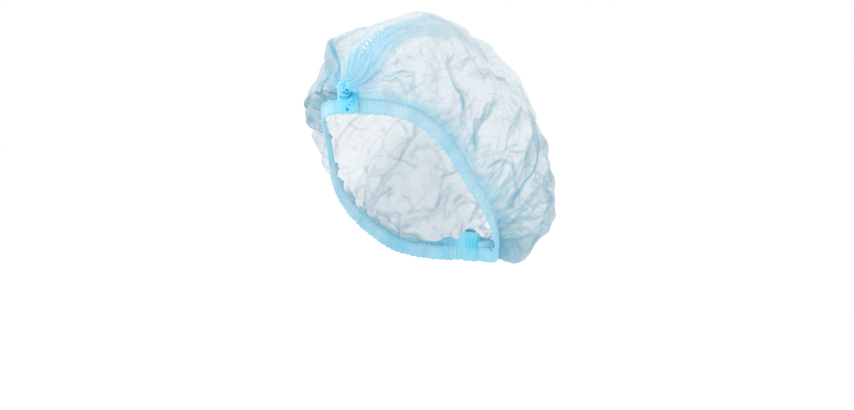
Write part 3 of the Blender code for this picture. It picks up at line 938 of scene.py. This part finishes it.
def band_grid(side):
    """Points, layers and flat places of the ribbon on one side."""
    way = way_along(band_point(clear_of_tabs))
    place = np.linspace(-END_TUCK, way[-1] + END_TUCK, BAND_COLUMNS)
    azimuth = np.interp(place, way, clear_of_tabs)
    beyond = place - np.clip(place, 0, way[-1])
    along, out, up = (v[:, None] for v in band_frame(azimuth))
    middle_line = band_point(azimuth)[:, None] + along * beyond[:, None, None]
    mm = place[:, None] * 1000
    seed = 20 if side > 0 else 40

    def noise(step, reach):
        return soft_noise(seed + step, BAND_COLUMNS, reach)[:, None]

    ring = np.linspace(0, 2 * math.pi, BAND_RING, endpoint=False)[None]
    height, face = squared(np.cos(ring), 0.55), squared(np.sin(ring), 0.7)
    edge = np.abs(height)
    phase = 2 * math.pi * mm / BAND_PLEAT_PITCH + BAND_PITCH_WANDER * noise(0, 40)
    phase = phase + BAND_PLEAT_SLANT * height * noise(1, 30)
    pleat = wave(phase) * (0.75 + 0.35 * noise(2, 14)) * (0.75 + 0.35 * edge)
    thickness = BAND_THICKNESS * 1000 / 2 - BAND_PLEAT_DEPTH * 0.55
    thickness = thickness * (0.78 + 0.22 * np.cos(3 * math.pi * height))
    outwards = face * thickness + BAND_PLEAT_DEPTH * pleat * (0.7 + 0.3 * np.abs(face))
    # The lower edge is ruffled more than the upper one, which is sewn to the crown.
    ruffle = BAND_EDGE_RUFFLE * (wave(phase * 0.5 + 1) * 0.6 + noise(3, 10))
    ruffle = ruffle * np.where(height < 0, 1, 0.3) * edge
    upwards = height * (BAND_WIDTH * 1000 / 2 - 0.2) + ruffle
    taper = ramp(mm, mm.min(), mm.min() + BAND_TAPER_MM)
    taper = (taper * ramp(mm, mm.max(), mm.max() - BAND_TAPER_MM))[..., None]
    off = out * outwards[..., None] * (0.5 + 0.5 * taper)
    off = off + up * upwards[..., None] * (0.7 + 0.3 * taper)
    points = middle_line + off / 1000
    layers = 1.5 + 0.5 * pleat * face + 0.7 * noise(4, 25) + 0.9 * ramp(edge, 0.75, 1.0)
    # The gathers are closer beside the front tab and along the rear half.
    layers = layers + np.exp(-mm / 14) + 0.9 * ramp(mm, 0.55 * mm.max(), 0.8 * mm.max())
    flat = joined(place[:, None] * BAND_GATHER, ring / math.pi * BAND_WIDTH)
    if side < 0:
        points, layers, flat = (points * (-1, 1, 1))[:, ::-1], layers[:, ::-1], flat[:, ::-1]
    return points, layers, flat


band_cloth = cloth_material("gathered_polypropylene_over_elastic", 0.62, BAND_COLOURS, 0.6)
for side, name in ((1, "band_left"), (-1, "band_right")):
    points, band_layers, flat = band_grid(side)
    band = grid_object(name + "_gathers", points, band_layers, flat, closed=True)
    band.data.materials.append(band_cloth)
    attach(band, "root")
    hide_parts(name)

# %% [markdown]
# At the front and at the back all the pleats are pressed together into a small stiff bundle. It is
# pinched at its middle. Its grooves and pits are painted the deepest blue on the cap, a painted
# shade for the light that they swallow.

# %% Tabs
TAB_RING, TAB_LEVELS, TAB_FLAT_LENGTH = 280, 110, 0.2
# The pinch is beside the middle. Folds run out from it like a star's rays.
PINCH_SIDE, PINCH_UP, PINCH_RAYS, PINCH_DEPTH, PINCH_REACH = 6.0, 2.4, 7, 2.0, 9.0
PIT_DEPTH, FACE_PLEAT_DEPTH, INNER_PLEAT_DEPTH = 2.2, 0.45, 0.55
TAB_PITS = [
    # sideways mm, upwards mm, size mm, depth
    (1.5, -9.5, 1.5, 0.9),
    (4.0, -6.0, 1.0, 0.5),
    (-3.0, 10.5, 1.3, 0.7),
    (-1.0, 7.5, 0.9, 0.5),
    (-4.5, 0.5, 1.0, 0.4),
]
TAB_COLOURS = "#C2ECF8", "#A6EAFB", "#6CDDF7", "#10ABDA"


def tab_grid(rear):
    """Points, layers and flat places of one bundle of pleats."""
    level = np.linspace(-1, 1, TAB_LEVELS)[:, None]
    ring = np.linspace(0, 2 * math.pi, TAB_RING, endpoint=False)[None]
    seed = 70 if rear else 60
    ragged = soft_noise(seed, TAB_RING, 12)[None]
    edge = soft_noise(seed + 1, TAB_LEVELS, 6)[:, None]
    # A block with rounded edges and a slight waist, in mm
    closing = np.clip(1 - np.abs(level) ** 5, 0, 1) ** 0.4
    box_x, box_y = squared(np.cos(ring), 0.75), squared(np.sin(ring), 0.6)
    waist = 1 - 0.10 * bell(level - 0.1, 0.4) + 0.05 * edge
    x = 1000 * TAB_WIDTH / 2 * waist * box_x * (0.55 + 0.45 * closing)
    y = 1000 * TAB_DEPTH / 2 * box_y * closing
    z = 1000 * TAB_HEIGHT / 2 * level * (1 + 0.05 * ragged * np.abs(box_x))
    outer = 1 if rear else -1
    face, inner = np.clip(outer * box_y, 0, 1), np.clip(-outer * box_y, 0, 1)
    # The rays and pits of the pinch, and pleats on both faces
    dx, dz = x - PINCH_SIDE, z - PINCH_UP
    away, angle = np.hypot(dx, dz), np.arctan2(dz, dx)
    ray = wave(PINCH_RAYS * angle + 2.4 * np.sin(2 * angle + 0.7) + 0.35 * away + 1.6 * edge)
    groove = bell(away - 3, PINCH_REACH) * (0.5 - 0.5 * ray) ** 1.5 * ramp(away, 0.5, 2.5)
    pit = np.exp(-(((dx + dz) / 3.2) ** 2) - ((dx - dz) / 1.7) ** 2)
    for side_mm, up_mm, size, depth in TAB_PITS:
        pit = pit + depth * np.exp(-((x - side_mm) ** 2 + (z - up_mm) ** 2) / size**2)
    pleat = 0.5 - 0.5 * wave(1.9 * x + 0.8 * np.sin(0.45 * z) + 1.5 * ragged)
    inwards = PINCH_DEPTH * groove + PIT_DEPTH * pit
    inwards = face * (inwards + FACE_PLEAT_DEPTH * pleat * (1 - bell(away, 5)))
    y = y - outer * inwards + outer * inner * INNER_PLEAT_DEPTH * pleat
    points = joined(x, y, z) / 1000 + tab_centre(rear)
    # The grooves and pits also get extra layers: painted shade that makes them the deepest blue.
    layers = 0.9 + face * (2.6 * groove + 5.0 * pit + 0.8 * pleat) + 1.4 * inner * pleat
    layers = layers + 2.0 * bell(away, 8.0) + 0.6 * ragged + 0.5 * edge
    flat = joined(ring / (2 * math.pi) * TAB_FLAT_LENGTH, level * TAB_HEIGHT / 2)
    return points[:, ::-1], layers[:, ::-1], flat[:, ::-1]


tab_cloth = cloth_material("pressed_polypropylene_pleats", 0.5, TAB_COLOURS, 0.8)
for rear, name in ((False, "front_tab"), (True, "rear_tab")):
    points, tab_layers, flat = tab_grid(rear)
    tab = grid_object(name + "_pleats", points, tab_layers, flat, closed=True)
    tab.data.materials.append(tab_cloth)
    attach(tab, "root")
    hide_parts(name)

# %% [markdown]
# Along the crest the cloth still lies in its pleats, one leaf half over the next like shingles.
# Each leaf starts at the front tab, follows the crest, and opens into the crown at its end.

# %% Crest pleats
LEAVES, LEAF_WIDTH, LEAF_TIED = 6, 0.30, 0.10
LEAF_COLUMNS, LEAF_ROWS = 150, 18
# Leaves end at different places, between this share of the crest's length and its whole length.
LEAF_START, SHORTEST_LEAF = 0.004, 0.70
CREST_COLOURS = "#D2F0FC", "#AEE8FD", "#84DCFB", "#3ABDE8"


def on_cloth(station, rise):
    """A place on the folded crown and the direction out of it."""
    place = np.clip(station, 0, 1) * (crown_points.shape[0] - 1)
    row = np.clip((1 - rise) / 2, 0, 1) * (crown_points.shape[1] - 1)
    i = np.clip(place.astype(int), 0, crown_points.shape[0] - 2)
    j = np.clip(row.astype(int), 0, crown_points.shape[1] - 2)
    a, b = (place - i)[..., None], (row - j)[..., None]

    def mix(grid):
        near = grid[i, j] * (1 - a) * (1 - b) + grid[i + 1, j] * a * (1 - b)
        return near + grid[i, j + 1] * (1 - a) * b + grid[i + 1, j + 1] * a * b

    return mix(crown_points), unit(mix(fine.normals))


def leaf_grid(k):
    """Points, layers and flat places of one leaf of the crest."""

    def noise(seed, reach):
        return soft_noise(seed + k, LEAF_COLUMNS, reach)[:, None]

    along = np.linspace(0, 1, LEAF_COLUMNS)[:, None]
    across = np.linspace(0, 1, LEAF_ROWS)[None]
    end = CREST_END * (SHORTEST_LEAF + 0.30 * ((k * 0.37) % 1))
    station = LEAF_START + (end - LEAF_START) * along + 0 * across
    # Where on the crest's width each point is, from 0 to 1
    edge = 0.03 * noise(80, 9)
    first = k / LEAVES * (1 - LEAF_WIDTH * 0.2) - 0.04
    share = first + edge + (LEAF_WIDTH + 0.05 * noise(90, 12)) * across
    left, right = crest_left(station), crest_right(station)
    points, out = on_cloth(station, left + (right - left) * share)
    lift = 0.5 + 1.1 * across + 0.12 * wave(2 * math.pi * (across * 3 + 2 * edge * 10))
    lift = lift * ramp(along, 0, 0.08) + 0.3 * noise(110, 5) * across
    points = points + out * (lift / 1000)[..., None]
    # The leaf comes out of the tab's face.
    forward = -TAB_DEPTH / 2 - 0.0006 - 0.0002 * k
    upward = TAB_HEIGHT / 2 * (0.50 + 0.14 * np.cos(5 * share + k))
    foot = tab_centre(False) + joined((share - 0.5) * TAB_WIDTH * 0.95, forward, upward)
    tied = ramp(along, LEAF_TIED, 0.0)[..., None]
    points = points * (1 - tied) + foot * tied
    ends = ramp(along, 1.0, 0.35) * (0.25 + 0.75 * ramp(along, 0.0, 0.02))
    ends = ends * ramp(share, 1.06, 0.70) ** 0.5
    edges = 1.25 + 1.1 * fading(along, 0.3) + 0.3 * ramp(across, 0.80, 1.0)
    layers = -1 + ends * (edges + 0.12 * ramp(across, 0.20, 0.0))
    flat = joined(station * FLAT_WIDTH, 0.01 * k + 0.02 * across)
    return points[:, ::-1], layers[:, ::-1], flat[:, ::-1]


leaves = [grid_object("crest_leaf", *leaf_grid(k)) for k in range(LEAVES)]
with bpy.context.temp_override(active_object=leaves[0], selected_editable_objects=leaves):
    bpy.ops.object.join()
crest = leaves[0]
crest.name = "crest_pleats"
crest.data.materials.append(cloth_material("pleated_polypropylene", 0.72, CREST_COLOURS, 0.5))
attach(crest, "root")

# %% [markdown]
# The cloth is sealed without thread. Rows of small raised dashes, nearly white, are painted
# highlights: one row along each headband, where the gathers catch the light, and a short row on the
# crest. One small tree of geometry nodes puts the same dash on each point of a row, turned to lie
# on the cloth, each a little longer or shorter.

# %% Pale dashes, painted highlights
DASH_LENGTH, DASH_WIDTH, DASH_HEIGHT, DASH_PITCH = 0.0026, 0.0007, 0.0003, 0.0036
SHORTEST_DASH, LONGEST_DASH = 0.7, 1.15


def marks_tree():
    """Geometry nodes that put a dash on every point."""
    tree = bpy.data.node_groups.new("dash_on_each_point", "GeometryNodeTree")
    kinds = {"Rows": "Geometry", "Length": "Float", "Width": "Float", "Height": "Float"}
    kinds.update(Seed="Int", Cloth="Material")
    for name, kind in kinds.items():
        tree.interface.new_socket(name, in_out="INPUT", socket_type="NodeSocket" + kind)
    tree.interface.new_socket("Dashes", in_out="OUTPUT", socket_type="NodeSocketGeometry")
    given = tree.nodes.new("NodeGroupInput").outputs
    ball = add(tree, "GeometryNodeMeshIcoSphere", Radius=0.5, Subdivisions=2)
    size = add(tree, "ShaderNodeCombineXYZ", X=given["Length"], Y=given["Width"], Z=given["Height"])
    dash = add(tree, "GeometryNodeTransform", Geometry=ball, Scale=size)
    vector = {"data_type": "FLOAT_VECTOR"}
    run = add(tree, "GeometryNodeInputNamedAttribute", vector, Name="run")
    out = add(tree, "GeometryNodeInputNamedAttribute", vector, Name="out")
    turned = add(tree, "FunctionNodeAlignRotationToVector", {"axis": "X"}, Vector=run)
    laid = add(tree, "FunctionNodeAlignRotationToVector", {"axis": "Z", "pivot_axis": "X"})
    feed(laid, Rotation=turned, Vector=out)
    uneven = add(tree, "FunctionNodeRandomValue", {"data_type": "FLOAT"}, Seed=given["Seed"])
    feed(uneven, i2=SHORTEST_DASH, i3=LONGEST_DASH)
    stood = add(tree, "GeometryNodeInstanceOnPoints", Points=given["Rows"], Instance=dash)
    feed(stood, Rotation=laid, Scale=uneven.outputs[1])
    real = add(tree, "GeometryNodeRealizeInstances", Geometry=stood)
    made = add(tree, "GeometryNodeSetMaterial", Geometry=real, Material=given["Cloth"])
    add(tree, "NodeGroupOutput", i0=made)
    return tree


def rows_of_marks(name, places, runs, outs, seed, size=1.0):
    """Dashes at the places, along the runs, lying flat against the outs."""
    mesh = bpy.data.meshes.new(name)
    mesh.from_pydata(places.tolist(), [], [])
    for label, values in (("run", runs), ("out", outs)):
        attribute = mesh.attributes.new(label, "FLOAT_VECTOR", "POINT")
        attribute.data.foreach_set("vector", values.reshape(-1).astype(np.float32))
    rows = new_object(name + "_rows", mesh)
    tree = marks_tree()
    nodes = rows.modifiers.new("dashes", "NODES")
    nodes.node_group = tree
    values = {"Length": DASH_LENGTH * size, "Width": DASH_WIDTH * size, "Height": DASH_HEIGHT}
    values.update(Seed=seed, Cloth=highlight_dash_cloth)
    for item in tree.interface.items_tree:
        if item.in_out == "INPUT" and item.name in values:
            nodes[item.identifier] = values[item.name]
    graph = bpy.context.evaluated_depsgraph_get()
    solid = bpy.data.meshes.new_from_object(rows.evaluated_get(graph))
    solid.name = name
    bpy.data.objects.remove(rows)
    solid.shade_smooth()
    marks = new_object(name, solid)
    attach(marks, "root")
    print(name, len(places), "dashes,", len(solid.polygons), "faces")


# The dashes' nearly white colour is a painted highlight on the gathers and on the crest.
highlight_dash_cloth, shader = new_material("pale_dashes_painted_highlight")
tree = highlight_dash_cloth.node_tree
where = add(tree, "ShaderNodeTexCoord").outputs["Object"]
uneven = add(tree, "ShaderNodeTexNoise", Vector=where, Scale=900.0, Detail=2.0)
tint = add(tree, "ShaderNodeMix", {"data_type": "RGBA"}, i0=uneven)
feed(tint, i6=linear("#E2F4FB"), i7=linear("#F4FAFD"))
dent = add(tree, "ShaderNodeBump", Strength=0.4, Distance=0.0002, Height=uneven)
feed(shader, Base_Color=tint.outputs[2], Normal=dent, Roughness=0.3, IOR=1.49, Alpha=0.75)

# %% Rows on the headbands
# Where along half of the headband a row starts, and the share of it that the row fills
DASHES_START, DASHES_SHARE, DASHES_UP, DASHES_OUT = 0.008, 0.86, 0.0036, 0.0002
DASH_LEAN = 0.25

way = way_along(band_point(clear_of_tabs))
places = np.arange(DASHES_START, DASHES_SHARE * way[-1], DASH_PITCH)
azimuth = np.interp(places, way, clear_of_tabs)
along, out, up = band_frame(azimuth)
centre = band_point(azimuth) + up * DASHES_UP + out * (BAND_THICKNESS / 2 + DASHES_OUT)
for side, name in ((1, "band_left"), (-1, "band_right")):
    mirror = np.array((side, 1.0, 1.0))
    runs = (up + DASH_LEAN * along) * mirror
    rows_of_marks(name + "_highlight_dashes", centre * mirror, runs, out * mirror, 5 + side)

# %% Row on the crest
CREST_DASHES, CREST_DASH_SIZE, CREST_DASH_LIFT = 8, 1.65, 0.0024
CREST_ROW = [
    # station, rise
    (0.054, 0.06),
    (0.070, 0.085),
    (0.087, 0.105),
    (0.104, 0.125),
    (0.122, 0.135),
]

at = np.linspace(0, 1, CREST_DASHES)
knots = np.linspace(0, 1, len(CREST_ROW))
station, rise = (np.interp(at, knots, column) for column in zip(*CREST_ROW))
places, outs = on_cloth(station, rise)
runs = unit(on_cloth(station - 0.004, rise + 0.05)[0] - places)
places = places + outs * CREST_DASH_LIFT
rows_of_marks("crest_highlight_dashes", places, runs, outs, 3, CREST_DASH_SIZE)
